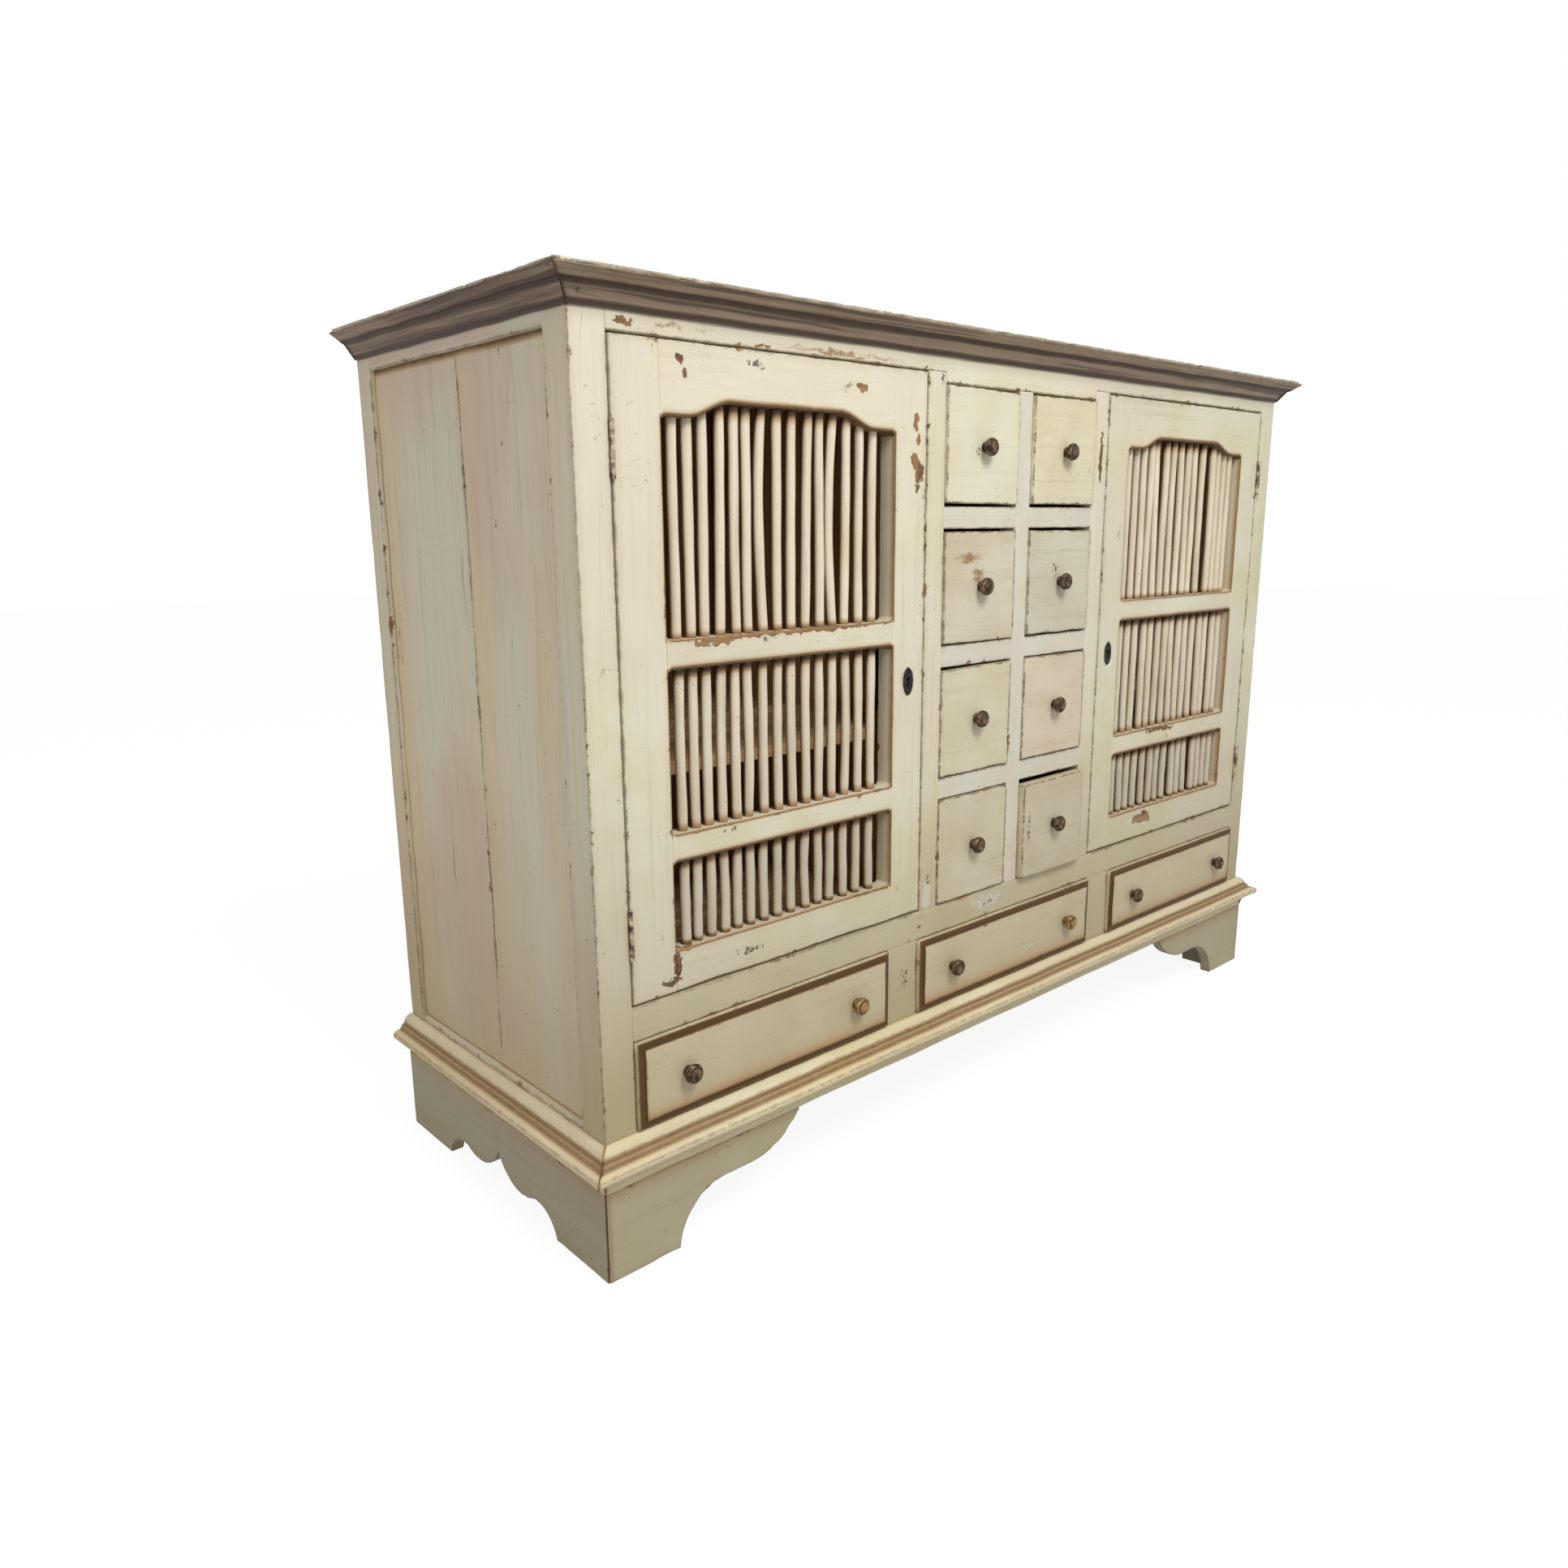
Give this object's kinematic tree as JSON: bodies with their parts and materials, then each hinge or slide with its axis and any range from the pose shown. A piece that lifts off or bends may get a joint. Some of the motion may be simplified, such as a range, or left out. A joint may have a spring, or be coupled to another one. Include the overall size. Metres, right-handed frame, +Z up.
{
  "type": "dresser base",
  "caption": "Painted dresser base with rod-filled arched doors, small and long drawers, a moulded cornice and bracket feet.",
  "frame": {"origin": "middle of the footprint, on the floor", "axes": "+X to the right along the front, +Y towards the back, +Z up; the doors and drawers face -Y"},
  "size_m": [1.514, 0.524, 1.08],
  "materials": {
    "cream_paint": "chalky cream paint, worn and waxed",
    "rod_paint": "pinkish cream paint over turned rods",
    "taupe_paint": "taupe paint, dry brushed",
    "dark_stain": "dark stain, matt",
    "raw_wood": "bare softwood",
    "aged_brass": "aged, dull",
    "iron": "blackened"
  },
  "bodies": {
    "case": {"front_posts": "cream_paint", "back_posts": "cream_paint", "side_rails": "cream_paint", "side_boards": "cream_paint", "top_rail": "cream_paint", "waist_rail": "cream_paint", "base_rail": "cream_paint", "centre_posts": "cream_paint", "lower_muntins": "cream_paint", "spice_frame": "cream_paint", "partitions": "dark_stain", "dust_boards": "raw_wood", "cupboard_shelves": "dark_stain", "cupboard_floor": "dark_stain", "drawer_runners": "raw_wood", "back_boards": "dark_stain", "back_rails": "dark_stain", "top_boards": "taupe_paint", "cornice": "taupe_paint", "plinth_moulding": "cream_paint", "bracket_feet": "cream_paint", "foot_blocks": "raw_wood", "frame_hinges": "iron"},
    "left_door": {"left_door_stiles": "cream_paint", "left_door_rails": "cream_paint", "left_door_rods": "rod_paint", "left_door_lock": "iron", "left_door_hinges": "iron"},
    "left_bolt": {"left_lock_bolt": "aged_brass"},
    "right_door": {"right_door_stiles": "cream_paint", "right_door_rails": "cream_paint", "right_door_rods": "rod_paint", "right_door_lock": "iron", "right_door_hinges": "iron"},
    "right_bolt": {"right_lock_bolt": "aged_brass"},
    "spice_1_left": {"spice_drawer_1_left": "cream_paint", "spice_knob_1_left": "aged_brass"},
    "spice_1_right": {"spice_drawer_1_right": "cream_paint", "spice_knob_1_right": "aged_brass"},
    "spice_2_left": {"spice_drawer_2_left": "cream_paint", "spice_knob_2_left": "aged_brass"},
    "spice_2_right": {"spice_drawer_2_right": "cream_paint", "spice_knob_2_right": "aged_brass"},
    "spice_3_left": {"spice_drawer_3_left": "cream_paint", "spice_knob_3_left": "aged_brass"},
    "spice_3_right": {"spice_drawer_3_right": "cream_paint", "spice_knob_3_right": "aged_brass"},
    "spice_4_left": {"spice_drawer_4_left": "cream_paint", "spice_knob_4_left": "aged_brass"},
    "spice_4_right": {"spice_drawer_4_right": "cream_paint", "spice_knob_4_right": "aged_brass"},
    "long_left": {"long_front_left": "cream_paint", "long_box_left": "raw_wood", "long_knobs_left": "aged_brass"},
    "long_middle": {"long_front_middle": "cream_paint", "long_box_middle": "raw_wood", "long_knobs_middle": "aged_brass"},
    "long_right": {"long_front_right": "cream_paint", "long_box_right": "raw_wood", "long_knobs_right": "aged_brass"}
  },
  "joints": [
    {"name": "left_door_hinge", "type": "hinge", "parent": "case", "child": "left_door", "pos_m": [-0.6808, -0.2329, 0.673], "axis": [0, 0, -1], "range_deg": [0, 170]},
    {"name": "left_bolt_slide", "type": "slide", "parent": "left_door", "child": "left_bolt", "axis": [1, 0, 0], "range_m": [0, 0.01]},
    {"name": "right_door_hinge", "type": "hinge", "parent": "case", "child": "right_door", "pos_m": [0.6808, -0.2329, 0.673], "axis": [0, 0, 1], "range_deg": [0, 170]},
    {"name": "right_bolt_slide", "type": "slide", "parent": "right_door", "child": "right_bolt", "axis": [-1, 0, 0], "range_m": [0, 0.01]},
    {"name": "spice_1_left_slide", "type": "slide", "parent": "case", "child": "spice_1_left", "axis": [0, -1, 0], "range_m": [-0.003, 0.297]},
    {"name": "spice_1_right_slide", "type": "slide", "parent": "case", "child": "spice_1_right", "axis": [0, -1, 0], "range_m": [-0.004, 0.296]},
    {"name": "spice_2_left_slide", "type": "slide", "parent": "case", "child": "spice_2_left", "axis": [0, -1, 0], "range_m": [-0.002, 0.298]},
    {"name": "spice_2_right_slide", "type": "slide", "parent": "case", "child": "spice_2_right", "axis": [0, -1, 0], "range_m": [-0.002, 0.298]},
    {"name": "spice_3_left_slide", "type": "slide", "parent": "case", "child": "spice_3_left", "axis": [0, -1, 0], "range_m": [-0.001, 0.299]},
    {"name": "spice_3_right_slide", "type": "slide", "parent": "case", "child": "spice_3_right", "axis": [0, -1, 0], "range_m": [-0.001, 0.299]},
    {"name": "spice_4_left_slide", "type": "slide", "parent": "case", "child": "spice_4_left", "axis": [0, -1, 0], "range_m": [-0.001, 0.299]},
    {"name": "spice_4_right_slide", "type": "slide", "parent": "case", "child": "spice_4_right", "axis": [0, -1, 0], "range_m": [-0.01, 0.29]},
    {"name": "long_left_slide", "type": "slide", "parent": "case", "child": "long_left", "axis": [0, -1, 0], "range_m": [0, 0.33]},
    {"name": "long_middle_slide", "type": "slide", "parent": "case", "child": "long_middle", "axis": [0, -1, 0], "range_m": [0, 0.33]},
    {"name": "long_right_slide", "type": "slide", "parent": "case", "child": "long_right", "axis": [0, -1, 0], "range_m": [0, 0.33]}
  ]
}
